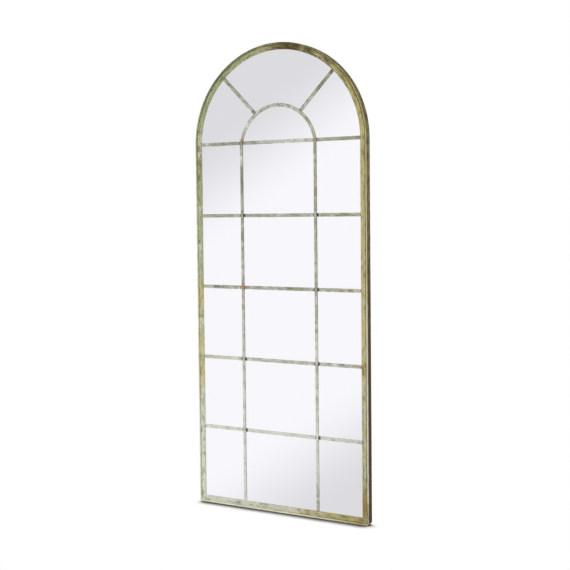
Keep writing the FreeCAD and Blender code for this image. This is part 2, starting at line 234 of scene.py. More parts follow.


# Placed one by one: rust at welds and outer edges, dirt or bare undercoat, chalky paint, and old yellow paint
WORN_SPOTS = (
    # Round head
    *worn(Wear.RUST, (-328, 1305, 62, 0.44), (30, 1590, 150, 0.62), (111, 1570, 60, 0.5)),
    *worn(Wear.RUST, (326, 1330, 60, 0.42)),
    *worn(Wear.DIRT_AND_SHADE, (-222, 1515, 85, 0.5), (45, 1588, 110, 0.82), (120, 1565, 80, 0.74)),
    *worn(Wear.DIRT_AND_SHADE, (197, 1533, 68, 0.7), (250, 1462, 90, 0.6), (296, 1385, 95, 0.5)),
    *worn(Wear.BLEACH, (-255, 1455, 110, 0.22)),
    # Fanlight
    *worn(Wear.DIRT_AND_SHADE, (-93, 1377, 26, 0.55), (10, 1391, 44, 0.4), (168, 1444, 40, 0.64)),
    *worn(Wear.BLEACH, (-122, 1320, 62, 0.62), (0, 1400, 300, 0.36)),
    # Left side
    *worn(Wear.RUST, (-328, 1250, 48, 0.52), (-328, 1190, 85, 0.52), (-328, 1105, 70, 0.45)),
    *worn(Wear.RUST, (-326, 500, 80, 0.5), (-320, 18, 24, 0.45)),
    *worn(Wear.DIRT_AND_SHADE, (-322, 1173, 90, 0.3), (-322, 1086, 28, 0.5)),
    *worn(Wear.BLEACH, (-328, 1275, 110, 0.44), (-328, 1045, 70, 0.46), (-328, 930, 110, 0.42)),
    *worn(Wear.YELLOW, (-322, 730, 110, 0.8), (-322, 500, 200, 0.86)),
    # Right side
    *worn(Wear.RUST, (318, 1235, 45, 0.5), (326, 1120, 60, 0.42), (326, 985, 60, 0.42)),
    *worn(Wear.RUST, (326, 850, 70, 0.44), (322, 513, 48, 0.6), (318, 70, 95, 0.72)),
    # Base
    *worn(Wear.RUST, (128, 14, 85, 0.5), (248, 16, 30, 0.52), (300, 14, 24, 0.7)),
    *worn(Wear.DIRT_AND_SHADE, (-178, 14, 34, 0.55)),
    *worn(Wear.BLEACH, (-105, 14, 60, 0.88), (40, 14, 170, 0.84)),
    *worn(Wear.YELLOW, (290, 14, 150, 0.85)),
    # Cross bars
    *worn(Wear.RUST, (-168, 1268, 30, 0.58), (-143, 1268, 26, 0.62), (146, 1268, 24, 0.55)),
    *worn(Wear.RUST, (295, 1268, 50, 0.42), (290, 770, 60, 0.38)),
    *worn(Wear.DIRT_AND_SHADE, (-245, 1268, 80, 0.46), (-87, 1268, 34, 0.45), (249, 1268, 36, 0.3)),
    *worn(Wear.DIRT_AND_SHADE, (-270, 1019, 32, 0.45), (238, 1019, 50, 0.58), (-234, 770, 60, 0.6)),
    *worn(Wear.DIRT_AND_SHADE, (35, 770, 105, 0.53), (-205, 521, 45, 0.35), (-225, 273, 28, 0.35)),
    *worn(Wear.BLEACH, (50, 1268, 130, 0.62), (-15, 273, 110, 0.9)),
    *worn(Wear.YELLOW, (300, 1019, 60, 0.9), (300, 770, 70, 1.0), (300, 521, 60, 0.9)),
    # Uprights
    *worn(Wear.RUST, (143, 1097, 36, 0.65), (-143, 772, 24, 0.9), (143, 708, 24, 0.5)),
    *worn(Wear.RUST, (-143, 575, 34, 0.55)),
    *worn(Wear.DIRT_AND_SHADE, (-143, 1125, 95, 0.56), (143, 918, 72, 0.5)),
    *worn(Wear.BLEACH, (-143, 1216, 40, 0.5), (143, 1210, 45, 0.5), (-143, 830, 45, 0.55)),
    *worn(Wear.BLEACH, (143, 560, 60, 0.75), (150, 250, 210, 0.84)),
)


@dataclass(frozen=True)
class WearMap:
    """How weather has worn the paint, by place across and height as shares of the frame's own."""

    half_width: float
    height: float
    spots: tuple[WornSpot, ...] = WORN_SPOTS
    to_right: Rise = Rise(-0.8, 0.9)
    left_bleach: float = 0.95
    left_power: float = 1.6
    right_bleach: float = 0.4
    right_from: Rise = Rise(0.1, 0.3)
    right_to: Rise = Rise(0.78, 0.92)
    left_yellow: float = 0.18
    yellow_gain: float = 0.7
    faded_from: Rise = Rise(0.06, 0.1)
    faded_to: Rise = Rise(0.28, 0.36)
    faded_yellow: float = 0.36
    joint: Rise = Rise(9.75 * MM, 13 * MM, 1.05)
    rust_clears: float = 0.7

    def states(self, places: np.ndarray, joints: tuple[Spot2D, ...], drift: float) -> dict[Wear, np.ndarray]:
        """Give the worn states of points on a piece, before its own edges and corners are added.

        Args:
            places: points in metres, one row each.
            joints: middles of the dirty joints that the piece runs past, across and up.
            drift: how far the piece follows the change from the bleached left to the yellowed right.

        Returns:
            One array for each worn state.
        """
        up = places[:, 2] / self.height
        right = self.to_right.at(places[:, 0] / self.half_width) * drift
        faded = self.faded_from.at(up) * self.faded_to.left(up)
        bleached_left = self.left_bleach * np.clip(1.0 - up, 0.0, 1.0) ** self.left_power
        bleached_right = np.maximum(self.right_from.at(up) * self.right_to.left(up), faded)
        bleached_right *= self.right_bleach
        states = {state: np.zeros(len(places)) for state in Wear}
        states[Wear.BLEACH] = bleached_left * (1.0 - right) + bleached_right * right
        states[Wear.YELLOW] = self.left_yellow + self.yellow_gain * right * (1.0 - self.faded_yellow * faded)
        for spot in self.spots:
            states[spot.mark] = np.maximum(states[spot.mark], spot.weight(places))
        for x, z in joints:
            near = self.joint.left(np.hypot(places[:, 0] - x, places[:, 2] - z))
            near *= 1.0 - self.rust_clears * states[Wear.RUST]
            states[Wear.DIRT_AND_SHADE] = np.maximum(states[Wear.DIRT_AND_SHADE], near)
        return states


class Finish:
    """A material with one surface shader; each finish says what that shader shows."""

    name: str

    def surface(self, tree: NodeTree) -> dict[str, Any]:
        """Add the finish's patterns to a tree and give the inputs of its shader."""
        raise NotImplementedError

    def build(self) -> Material:
        """Make the material.

        Returns:
            The finished material.
        """
        material = new_material(self.name)
        tree = material.node_tree
        shader = add_node(tree, "BsdfPrincipled", self.surface(tree))
        add_node(tree, "OutputMaterial", {"Surface": shader})
        return material


@dataclass(frozen=True)
class PaintLayer:
    """One coat or stain: its colour covers the last where its state and pattern together pass a level."""

    colour: str
    state: Wear | None
    pattern: Pattern
    swing: float
    low: float
    high: float
    cover: float = 1.0


@dataclass(frozen=True)
class DistressedPaint(Finish):
    """Limed sage paint over rusted mild steel flat bar: brushed on, rubbed back and left out in the weather.

    To the eye it is matt and mottled, with short streaks along each bar, pale rubbed edges, grime and
    painted shade in the corners, painted shade on the right outer side and along the bottom edge, and brown
    rust at the welds; the rim's lip also gets a painted highlight. Streaks and specks, about 1 mm wide, are
    drawn coarser to show.
    """

    name: str
    ground: str
    layers: tuple[PaintLayer, ...]
    patch_mm: float = 62.0
    blotch_mm: float = 19.0
    streak_mm: float = 8.0
    streak_stretch: float = 0.3
    speck_mm: float = 5.5
    grain: float = 0.62
    streak_span: Spot2D = (0.3, 0.7)
    roughness: Spot2D = (0.55, 0.82)
    speck_share: float = 0.5
    relief_mm: float = 0.35
    relief: float = 0.7
    shine: float = 0.2

    def surface(self, tree: NodeTree) -> dict[str, Any]:
        """Lay the coats and stains over one another.

        Args:
            tree: the material's tree.

        Returns:
            The inputs of the shader.
        """
        along = add_node(tree, "UVMap", uv_map=BAR_UV)
        place = add_node(tree, "TexCoord", output="Object")
        drawn = add_node(tree, "Mapping", {"Vector": along, "Scale": (self.streak_stretch, 1.0, 1.0)})
        sources = {
            Pattern.PATCH: (place, self.patch_mm, 3.0),
            Pattern.BLOTCH: (place, self.blotch_mm, 2.0),
            Pattern.STREAK: (drawn, self.streak_mm, 5.0),
            Pattern.SPECK: (along, self.speck_mm, 2.0),
        }
        fields = {}
        for pattern, (vector, size, detail) in sources.items():
            inputs = {"Vector": vector, "Scale": per_mm(size), "Detail": detail, "Roughness": self.grain}
            fields[pattern] = add_node(tree, "TexNoise", inputs)
        states = {}
        for state in Wear:
            states[state] = add_node(tree, "Attribute", output="Fac", attribute_name=state.value)

        colour: Any = self.ground
        for layer in self.layers:
            level = 0.0 if layer.state is None else states[layer.state]
            inputs = {0: fields[layer.pattern], 1: layer.swing, 2: level}
            both = add_node(tree, "Math", inputs, operation="MULTIPLY_ADD")
            mask = remap(tree, both, (layer.low, layer.high), (0.0, layer.cover), "SMOOTHSTEP")
            colour = blend(tree, mask, colour, layer.colour)

        streaks = fields[Pattern.STREAK]
        roughness = remap(tree, streaks, self.streak_span, self.roughness)
        inputs = {0: fields[Pattern.SPECK], 1: self.speck_share, 2: streaks}
        height = add_node(tree, "Math", inputs, operation="MULTIPLY_ADD")
        inputs = {"Height": height, "Distance": self.relief_mm * MM, "Strength": self.relief}
        relief = add_node(tree, "Bump", inputs)
        return {"Base Color": colour, "Roughness": roughness, "Normal": relief, "IOR": 1.5,
                "Specular IOR Level": self.shine}


# Outer frame: a sage coat, chalky on the left and yellowed on the right, with dark streaks and a pale lip,
# the lip's paleness partly rubbed paint and partly a painted highlight
FRAME_PAINT = DistressedPaint("sage_paint_on_steel", "#959B73", (
    PaintLayer("#A9A270", Wear.YELLOW, Pattern.PATCH, 1.0, 0.7, 1.35, 0.9),
    PaintLayer("#756E52", None, Pattern.BLOTCH, 1.0, 0.52, 0.7, 0.55),
    PaintLayer("#665D45", None, Pattern.STREAK, 1.0, 0.5, 0.68, 0.75),
    PaintLayer("#CCCDC0", Wear.BLEACH, Pattern.BLOTCH, 1.6, 0.95, 1.75, 0.9),
    PaintLayer("#B6AA70", Wear.YELLOW, Pattern.PATCH, 1.0, 0.92, 1.45, 0.6),
    PaintLayer("#CCC8AC", None, Pattern.SPECK, -1.0, -0.46, -0.32, 0.2),
    PaintLayer("#5A5138", None, Pattern.SPECK, 1.0, 0.56, 0.68, 0.45),
    PaintLayer("#6A6248", None, Pattern.STREAK, 1.0, 0.5, 0.68, 0.72),
    PaintLayer("#776545", Wear.RUST, Pattern.STREAK, 1.0, 0.78, 1.3, 0.85),
    PaintLayer("#AE874A", Wear.RUST, Pattern.SPECK, 1.0, 1.08, 1.35, 0.6),
    # Dirt, with painted shade behind the lip, on the right outer side and along the bottom edge
    PaintLayer("#433A1E", Wear.DIRT_AND_SHADE, Pattern.STREAK, 0.9, 0.8, 1.4, 0.95),
    # Rubbed paint, with a painted highlight on the rim's front lip
    PaintLayer("#DFDBC2", Wear.RUB_AND_HIGHLIGHT, Pattern.STREAK, 1.8, 1.2, 2.1, 0.85),
))
# Inner bars: the same coat limed greyer and paler, mottled light and dark
BAR_PAINT = DistressedPaint("limed_paint_on_flat_bar", "#91927F", (
    PaintLayer("#A2986C", Wear.YELLOW, Pattern.PATCH, 1.0, 0.8, 1.4, 0.7),
    PaintLayer("#6B6658", None, Pattern.BLOTCH, 1.0, 0.52, 0.68, 0.7),
    PaintLayer("#645F52", None, Pattern.STREAK, 1.0, 0.5, 0.66, 0.8),
    PaintLayer("#CFD0C6", Wear.BLEACH, Pattern.BLOTCH, 1.6, 0.85, 1.65, 0.92),
    PaintLayer("#D6D5C8", None, Pattern.SPECK, -1.0, -0.46, -0.32, 0.38),
    PaintLayer("#524D40", None, Pattern.SPECK, 1.0, 0.56, 0.68, 0.5),
    PaintLayer("#8A7156", Wear.RUST, Pattern.STREAK, 1.0, 0.8, 1.3, 0.75),
    PaintLayer("#B07C48", Wear.RUST, Pattern.SPECK, 1.0, 1.15, 1.6, 0.7),
    PaintLayer("#433E2A", Wear.DIRT_AND_SHADE, Pattern.STREAK, 0.9, 0.8, 1.3, 0.9),
    PaintLayer("#DAD8C8", Wear.RUB_AND_HIGHLIGHT, Pattern.STREAK, 0.8, 0.8, 1.3, 0.6),
))
# Weld beads: thin dull paint over lumps, with rust and dirt in their hollows
WELD_PAINT = DistressedPaint("painted_weld_bead", "#7D775F", (
    PaintLayer("#C2C1AE", Wear.BLEACH, Pattern.STREAK, 1.2, 0.9, 1.7, 0.8),
    PaintLayer("#6E5540", Wear.RUST, Pattern.STREAK, 1.0, 0.6, 1.0, 0.9),
    PaintLayer("#B9702F", Wear.RUST, Pattern.SPECK, 1.0, 0.9, 1.3, 0.85),
    PaintLayer("#3A3520", Wear.DIRT_AND_SHADE, Pattern.STREAK, 0.9, 0.7, 1.2, 0.9),
    PaintLayer("#D2CFB8", Wear.RUB_AND_HIGHLIGHT, Pattern.STREAK, 0.8, 0.8, 1.3, 0.6),
), streak_stretch=1.0)


@dataclass(frozen=True)
class SilveredGlass(Finish):
    """Silvered float glass, polished: a clean mirror with a faint cool cast and a haze of old wipe marks."""

    name: str = "silvered_float_glass"
    silver: str = "#F8F7FB"
    wipe_mm: float = 140.0
    wipe_span: Spot2D = (0.35, 0.7)
    haze: Spot2D = (0.012, 0.03)

    def surface(self, tree: NodeTree) -> dict[str, Any]:
        """Haze the silver.

        Args:
            tree: the material's tree.

        Returns:
            The inputs of the shader.
        """
        place = add_node(tree, "TexCoord", output="Object")
        inputs = {"Vector": place, "Scale": per_mm(self.wipe_mm), "Detail": 4.0, "Distortion": 1.2}
        wipes = add_node(tree, "TexNoise", inputs)
        haze = remap(tree, wipes, self.wipe_span, self.haze)
        return {"Base Color": self.silver, "Metallic": 1.0, "Roughness": haze}


@dataclass(frozen=True)
class StippledSheet(Finish):
    """A plain sheet good, pressed or foamed, whose surface shows a fine random stipple in two tones."""

    name: str
    ground: str
    fleck: str
    fleck_mm: float
    cloud_mm: float
    roughness: float
    relief_mm: float
    relief: float = 0.5
    fleck_share: float = 0.55
    tone_span: Spot2D = (0.45, 1.0)

    def surface(self, tree: NodeTree) -> dict[str, Any]:
        """Stipple the sheet.

        Args:
            tree: the material's tree.

        Returns:
            The inputs of the shader.
        """
        place = add_node(tree, "TexCoord", output="Object")
        inputs = {"Vector": place, "Scale": per_mm(self.cloud_mm), "Detail": 5.0, "Roughness": 0.6}
        clouds = add_node(tree, "TexNoise", inputs)
        inputs = {"Vector": place, "Scale": per_mm(self.fleck_mm)}
        flecks = add_node(tree, "TexVoronoi", inputs, "Distance")
        inputs = {0: flecks, 1: self.fleck_share, 2: clouds}
        both = add_node(tree, "Math", inputs, operation="MULTIPLY_ADD")
        colour = blend(tree, remap(tree, both, self.tone_span), self.ground, self.fleck)
        inputs = {"Height": both, "Distance": self.relief_mm * MM, "Strength": self.relief}
        relief = add_node(tree, "Bump", inputs)
        return {"Base Color": colour, "Roughness": self.roughness, "Normal": relief}


# Tempered hardboard: wood fibre pressed hot and oiled, dark brown with a slight shine and with paler fibres,
# drawn at 4 mm so that they show
HARDBOARD = StippledSheet("tempered_hardboard", "#54402F", "#755B43", 4.0, 26.0, 0.55, 0.2)
# Polyethylene foam: milky white closed cells, drawn at 4 mm so that they show
WHITE_FOAM = StippledSheet("polyethylene_foam", "#E6E6E2", "#C9CAC8", 4.0, 30.0, 0.8, 0.3)
# Closed-cell glazing tape: black, matt and faintly grained, with the grain drawn at 3 mm so that it shows
BLACK_TAPE = StippledSheet("glazing_foam_tape", "#1D1D1C", "#2C2C2A", 3.0, 20.0, 0.85, 0.15)


@dataclass(frozen=True)
class ZincPlate(Finish):
    """Zinc-plated pressed steel: a cool grey metal with a soft crystal spangle and duller handling marks."""

    name: str = "zinc_plated_steel"
    light: str = "#C3C6C8"
    dull: str = "#92969A"
    spangle_mm: float = 6.0
    mark_mm: float = 18.0
    spangle_share: float = 0.6
    tone_span: Spot2D = (0.45, 1.1)
    dull_span: Spot2D = (0.4, 1.1)
    roughness: Spot2D = (0.52, 0.34)

    def surface(self, tree: NodeTree) -> dict[str, Any]:
        """Spangle and dull the plating.

        Args:
            tree: the material's tree.

        Returns:
            The inputs of the shader.
        """
        place = add_node(tree, "TexCoord", output="Object")
        inputs = {"Vector": place, "Scale": per_mm(self.spangle_mm)}
        crystals = add_node(tree, "TexVoronoi", inputs, "Color")
        inputs = {"Vector": place, "Scale": per_mm(self.mark_mm), "Detail": 4.0}
        marks = add_node(tree, "TexNoise", inputs)
        inputs = {0: crystals, 1: self.spangle_share, 2: marks}
        both = add_node(tree, "Math", inputs, operation="MULTIPLY_ADD")
        colour = blend(tree, remap(tree, both, self.tone_span), self.dull, self.light)
        roughness = remap(tree, both, self.dull_span, self.roughness)
        return {"Base Color": colour, "Metallic": 1.0, "Roughness": roughness}


@dataclass(frozen=True)
class OutlinePoint:
    """A point of a bar's section, and how far it lies in the rounding of a front edge."""

    across: float
    depth: float
    rounding: float = 0.0


@dataclass(frozen=True)
class Section:
    """Section of a flat bar, centred across, with its two front edges rounded and its back edges broken."""

    width: float
    front: float
    back: float
    front_round: float
    strips: int
    back_break: float = 0.3 * MM
    round_steps: int = 4
    side_strips: int = 2
    notch_floor: float | None = None

    def outline(self) -> list[OutlinePoint]:
        """Give the points once round, from the front's low edge.

        Returns:
            The points in order.
        """
        half = self.width / 2
        flat = half - self.front_round
        shoulder = self.front + self.front_round
        corner = self.back - self.back_break
        front = [OutlinePoint(a, self.front) for a in np.linspace(-flat, flat, self.strips + 1)]
        high = []
        for step in range(1, self.round_steps + 1):
            turn = math.pi / 2 * step / self.round_steps
            across = flat + self.front_round * math.sin(turn)
            depth = shoulder - self.front_round * math.cos(turn)
            high.append(OutlinePoint(across, depth, math.sin(2 * turn)))
        sides = np.linspace(shoulder, corner, self.side_strips + 1)[1:]
        if self.notch_floor is not None:
            sides = (self.notch_floor, corner)
        high += [OutlinePoint(half, y) for y in sides]
        high.append(OutlinePoint(half - self.back_break, self.back))
        low = [OutlinePoint(-p.across, p.depth, p.rounding) for p in reversed(high)]
        return front + high + low


class EndCut:
    """A square end."""

    def trim(self, across: float) -> float:
        """Give how far short of its full length a bar ends at a distance from its middle line."""
        return 0.0


@dataclass(frozen=True)
class MitreCut(EndCut):
    """An end cut at 45 degrees that keeps the full length at one edge."""

    long_edge: float

    def trim(self, across: float) -> float:
        """Give the mitre's set-back, equal to the distance from the long edge."""
        return abs(across - self.long_edge)


@dataclass(frozen=True)
class RoundedCut(EndCut):
    """A square end with one corner rounded; the rounding may start a bar's thickness beyond the end."""

    corner: float
    radius: float
    beyond: float = 0.0

    def trim(self, across: float) -> float:
        """Give the set-back of the rounded corner."""
        inside = max(0.0, self.radius - abs(across - self.corner))
        return max(0.0, self.radius - self.beyond - math.sqrt(self.radius ** 2 - inside ** 2))


def beside(start: Spot2D, run: Spot2D, along: float, across: float) -> Spot2D:
    """Give the point at a distance along a line's direction and at another to its right."""
    return start[0] + run[0] * along + run[1] * across, start[1] + run[1] * along - run[0] * across


class BarPath:
    """The middle line of a bar in the XZ plane; across is the distance to its right, outwards on an arch."""

    def span(self, across: float) -> Spot2D:
        """Give where the bar starts and ends, along itself, at a distance across."""
        raise NotImplementedError

    def point(self, along: float, across: float) -> Spot2D:
        """Give the x and z of a point."""
        raise NotImplementedError

    @property
    def length(self) -> float:
        """Length of the middle line."""
        first, last = self.span(0.0)
        return last - first

    def place(self, share: float, across: float) -> Spot3D:
        """Give a point of the bar.

        Args:
            share: how far along, from 0 to 1.
            across: distance from the middle line.

        Returns:
            The point's x and z, and its distance along the bar.
        """
        first, last = self.span(across)
        along = first + share * (last - first)
        return *self.point(along, across), along


@dataclass(frozen=True)
class StraightPath(BarPath):
    """A straight bar between two points, with a cut at each end."""

    start: Spot2D
    end: Spot2D
    first_cut: EndCut = EndCut()
    last_cut: EndCut = EndCut()

    @property
    def length(self) -> float:
        """Length of the middle line before its ends are cut."""
        return math.dist(self.start, self.end)

    def span(self, across: float) -> Spot2D:
        """Give the two cut ends."""
        return self.first_cut.trim(across), self.length - self.last_cut.trim(across)

    def point(self, along: float, across: float) -> Spot2D:
        """Give the x and z of a point."""
        run = ((self.end[0] - self.start[0]) / self.length, (self.end[1] - self.start[1]) / self.length)
        return beside(self.start, run, along, across)


@dataclass(frozen=True)
class CopedPath(BarPath):
    """A slanting bar from one circle out to another; a circle is its middle's height and its radius."""

    aim: Spot2D
    lean: float
    inner_circle: Spot2D
    outer_circle: Spot2D

    @property
    def run(self) -> Spot2D:
        """Direction of the bar."""
        return math.sin(self.lean), math.cos(self.lean)

    def meet(self, circle: Spot2D, across: float) -> float:
        """Give the distance from the aim at which the bar meets a circle.

        Args:
            circle: height of the circle's middle and its radius.
            across: distance from the middle line.

        Returns:
            The distance along the bar.
        """
        middle, radius = circle
        x, z = beside((self.aim[0], self.aim[1] - middle), self.run, 0.0, across)
        toward = x * self.run[0] + z * self.run[1]
        return -toward + math.sqrt(toward ** 2 - (x ** 2 + z ** 2 - radius ** 2))

    def span(self, across: float) -> Spot2D:
        """Give where the bar leaves the inner circle and meets the outer one."""
        return self.meet(self.inner_circle, across), self.meet(self.outer_circle, across)

    def point(self, along: float, across: float) -> Spot2D:
        """Give the x and z of a point."""
        return beside(self.aim, self.run, along, across)


@dataclass(frozen=True)
class ArchPath(BarPath):
    """A bar bent to an arch, from its left foot to its right one."""

    middle: float
    radius: float
    foot: float

    def foot_turn(self, across: float) -> float:
        """Give the angle at which the arch meets the height of its feet."""
        return math.asin((self.foot - self.middle) / (self.radius + across))

    def span(self, across: float) -> Spot2D:
        """Give the two feet, measured along the middle line."""
        return 0.0, self.radius * (math.pi - 2 * self.foot_turn(0.0))

    def point(self, along: float, across: float) -> Spot2D:
        """Give the x and z of a point, its distance along being measured on the middle line.

        Args:
            along: distance along the middle line.
            across: distance outwards from it.

        Returns:
            The point's x and z.
        """
        low = self.foot_turn(across)
        turn = math.pi - low - along / self.length * (math.pi - 2 * low)
        reach = self.radius + across
        return reach * math.cos(turn), self.middle + reach * math.sin(turn)


def tube_faces(first: int, last: int, count: int) -> list[tuple[int, ...]]:
    """Join rings of points to a closed tube.

    Args:
        first: number of the first ring's first point.
        last: number of the last ring's first point.
        count: points in each ring.

    Returns:
        The faces between the rings, then the two ends.
    """
    faces = []
    for low in range(first, last, count):
        for j in range(count):
            k = (j + 1) % count
            faces.append((low + j, low + k, low + count + k, low + count + j))
    return faces + [tuple(range(ring, ring + count)) for ring in (first, last)]


@dataclass(frozen=True)
class EdgeWear:
    """How rim and face bars darken and pale, painted shade and highlight included, by height and place
    across as shares of the frame's own.
    """

    # Grime and painted shade in the corner behind the lip, by distance from the lip: most on the right and
    # round the head
    corner: Rise = Rise(1.5 * MM, 6 * MM)
    corner_dirt_and_shade: float = 0.54
    corner_gain: float = 0.41
    to_right: Rise = Rise(-0.6, 0.9)
    head: Rise = Rise(0.8, 0.9)
    head_share: float = 0.7
    corner_eases_at_sill: Rise = Rise(0.01, 0.03, 0.22)
    # Darker lip of the head; painted shade on the right outer side, darker towards the bottom, and painted
    # shade along the bottom edge by the floor
    head_lip_darkening: float = 0.72
    head_lip_eases_right: float = 0.6
    # weather picks out the right outer side, where the shade is painted
    weather: Rise = Rise(0.1, 0.7)
    right_side_shade: float = 1.05
    right_side_shade_eases_up: Rise = Rise(0.2, 0.75, 0.36)
    underside: Rise = Rise(0.0003, 0.0014, 0.9)
    # Rubbing and painted highlight on the lip, which change with height on the right and are strongest
    # along the left of the base
    lip_rub_and_highlight: float = 0.6
    lip_change_right: Rise = Rise(0.2, 0.9)
    foot_loss: float = 0.2
    above_foot: Rise = Rise(0.01, 0.06, 0.52)
    upper_loss: Rise = Rise(0.38, 0.52, 0.5)
    base: Rise = Rise(0.004, 0.02, 0.32)
    base_end: Rise = Rise(0.5, 0.85)
    # Rubbing of every bar, less towards the head
    plain_rub: float = 0.15
    edge_rub: float = 0.4
    head_loss: Rise = Rise(0.65, 0.9, 0.7)


@dataclass(frozen=True)
class Bar:
    """One flat bar of the frame, swept along its path with the small unevenness of hand work.

    A face bar's lip is the edge in the corner behind the rim, and a rim bar's outside is its outer edge.
    """

    node: str
    path: BarPath
    section: Section
    seed: int
    lip: EdgeSide = EdgeSide.NONE
    outside: EdgeSide = EdgeSide.NONE
    drift: float = 1.0
    joints: tuple[Spot2D, ...] = ()
    notches: tuple[Spot2D, ...] = ()
    wear: EdgeWear = EdgeWear()
    step: float = 5 * MM
    sway: float = 0.25 * MM
    sway_wave: float = 140 * MM
    still_end: float = 20 * MM
    dent: float = 0.14 * MM
    dent_wave: float = 13 * MM
    nick_across: float = 0.224 * MM
    nick_depth: float = 0.112 * MM
    nick_wave: float = 7.8 * MM
    # Rows of the noise, which keep the bars, the two edges and the kinds of unevenness apart
    seed_gap: float = 2.9
    sway_row: float = 0.5
    nick_row: float = 7.5
    edge_row: float = 4.0

    def stations(self) -> list[Spot2D]:
        """Give the rings along the bar.

        Returns:
            For each ring its share of the length and the depth at which it ends behind.
        """
        length = self.path.length
        count = max(2, round(length / self.step))
        shares = [i / count for i in range(count + 1)]
        edges = [0.0] + [edge / length for notch in self.notches for edge in notch] + [1.0]
        rings = []
        for number, (low, high) in enumerate(zip(edges, edges[1:])):
            if (high - low) * length < SAME_PLACE:
                continue
            # The stretches between the edges are whole and notched by turns
            floor = self.section.notch_floor if number % 2 else self.section.back
            rings += [(share, floor) for share in [low] + [s for s in shares if low < s < high] + [high]]
        return rings

    def worked(self, along: float, point: OutlinePoint) -> Spot2D:
        """Give what hand work does to a point: the bar sways a little and its front is dented and nicked.

        Args:
            along: distance along the bar.
            point: the point of its section.

        Returns:
            The change across and the change in depth.
        """
        row = self.seed * self.seed_gap
        hold = min(1.0, max(0.0, min(along, self.path.length - along)) / self.still_end)
        sway = self.sway * hold * noise.noise((along / self.sway_wave, row, self.sway_row))
        if point.depth > self.section.front + self.section.front_round:
            return sway, 0.0
        hollow = self.dent * noise.noise((along / self.dent_wave, point.across / self.dent_wave, row))
        if not point.rounding:
            return sway, hollow
        row = self.seed + math.copysign(self.edge_row, point.across)
        nick = max(0.0, noise.noise((along / self.nick_wave, row, self.nick_row)))
        return sway - math.copysign(self.nick_across * nick, point.across), hollow + self.nick_depth * nick

    def edge_dirt_and_shade(self, point: OutlinePoint, across: float, up: float) -> float:
        """Give how dark a point's own place on the bar is made.

        Args:
            point: the point of the section.
            across: its distance from the middle, as a share of half the width.
            up: its height, as a share of the whole.

        Returns:
            Grime and painted shade in the corner behind the lip, painted shade on the right outer side and
            along the bottom edge, or the darker lip of the head.
        """
        wear = self.wear
        right, head = wear.to_right.at(across), wear.head.at(up)
        # Face bars: grime and painted shade in the corner behind the lip
        if self.lip is not EdgeSide.NONE:
            gap = self.section.width / 2 - self.lip.value * point.across
            strength = wear.corner_dirt_and_shade + wear.corner_gain * max(right, wear.head_share * head)
            return strength * (1.0 - wear.corner_eases_at_sill.left(up)) * wear.corner.left(gap)
        if self.outside is EdgeSide.NONE:
            return 0.0
        # Rim bars: the front lip of the head is made darker, less so to the right
        if point.depth <= self.section.front + self.section.front_round / 2:
            return wear.head_lip_darkening * head * (1.0 - wear.head_lip_eases_right * right)
        # The outer side: painted shade on the right, darker towards the bottom, and along the bottom edge
        if point.across * self.outside.value > 0:
            weather = (wear.right_side_shade - wear.right_side_shade_eases_up.at(up)) * wear.weather.at(across)
            return max(weather, wear.underside.left(up))
        return 0.0

    def rub_and_highlight(self, point: OutlinePoint, across: float, up: float) -> float:
        """Give how far the paint of a point is rubbed pale, with a painted highlight on the rim's lip: most
        on the lip and the front edges, low down.

        Args:
            point: the point of the section.
            across: its distance from the middle, as a share of half the width.
            up: its height, as a share of the whole.

        Returns:
            The rubbing and painted highlight, from 0 to about 1.
        """
        wear = self.wear
        if point.depth > self.section.front + self.section.front_round:
            return 0.0
        rub_and_highlight = wear.plain_rub
        # Rim bars: rubbed paint and a painted highlight on the lip, changing with height and place
        if self.outside is not EdgeSide.NONE:
            change = wear.above_foot.at(up) - wear.foot_loss - wear.upper_loss.at(up)
            rub_and_highlight = wear.lip_rub_and_highlight + wear.lip_change_right.at(across) * change
            rub_and_highlight += wear.base.left(up) * wear.base_end.left(across)
        return (rub_and_highlight + wear.edge_rub * point.rounding) * (1.0 - wear.head_loss.at(up))

    def skin(self, outline: list[OutlinePoint],
             runs: list[float]) -> tuple[list[tuple[int, ...]], list[Spot2D]]:
        """Join the rings to faces and lay the paint's map along and round the bar.

        Args:
            outline: the points of the section.
            runs: each corner's distance along the bar, ring by ring.

        Returns:
            The faces, and the place in the map of each corner of each face.
        """
        count = len(outline)
        faces = tube_faces(0, len(runs) - count, count)
        shift = self.seed * self.seed_gap
        girth = [0.0]
        for one, two in zip(outline, outline[1:] + outline[:1]):
            girth.append(girth[-1] + math.hypot(two.across - one.across, two.depth - one.depth))
        uvs = []
        for face in faces[:-2]:
            j = face[0] % count
            uvs += [(runs[corner] + shift, girth[at]) for corner, at in zip(face, (j, j + 1, j + 1, j))]
        # Both ends show the section as it is
        uvs += [(shift + point.across, point.depth) for point in outline] * 2
        return faces, uvs

    def build(self, paint: Material, weather: WearMap) -> Object:
        """Sweep the bar, mark its wear and put it in its node's place.

        Args:
            paint: the bar's finish.
            weather: the worn states by place.

        Returns:
            The new piece.
        """
        outline = self.section.outline()
        corners, runs, edge_dirt_and_shade, rub_and_highlight = [], [], [], []
        for share, floor in self.stations():
            for point in outline:
                along = self.path.place(share, point.across)[2]
                sideways, inward = self.worked(along, point)
                x, z, _ = self.path.place(share, point.across + sideways)
                corners.append((x, min(point.depth + inward, floor), z))
                runs.append(along)
                where = (x / weather.half_width, z / weather.height)
                edge_dirt_and_shade.append(self.edge_dirt_and_shade(point, *where))
                rub_and_highlight.append(self.rub_and_highlight(point, *where))
        faces, uvs = self.skin(outline, runs)
        mesh = bpy.data.meshes.new(self.node + "_painted")
        mesh.from_pydata(corners, [], faces)
        layer = mesh.uv_layers.new(name=BAR_UV)
        layer.data.foreach_set("uv", [number for uv in uvs for number in uv])
        states = weather.states(np.array(corners), self.joints, self.drift)
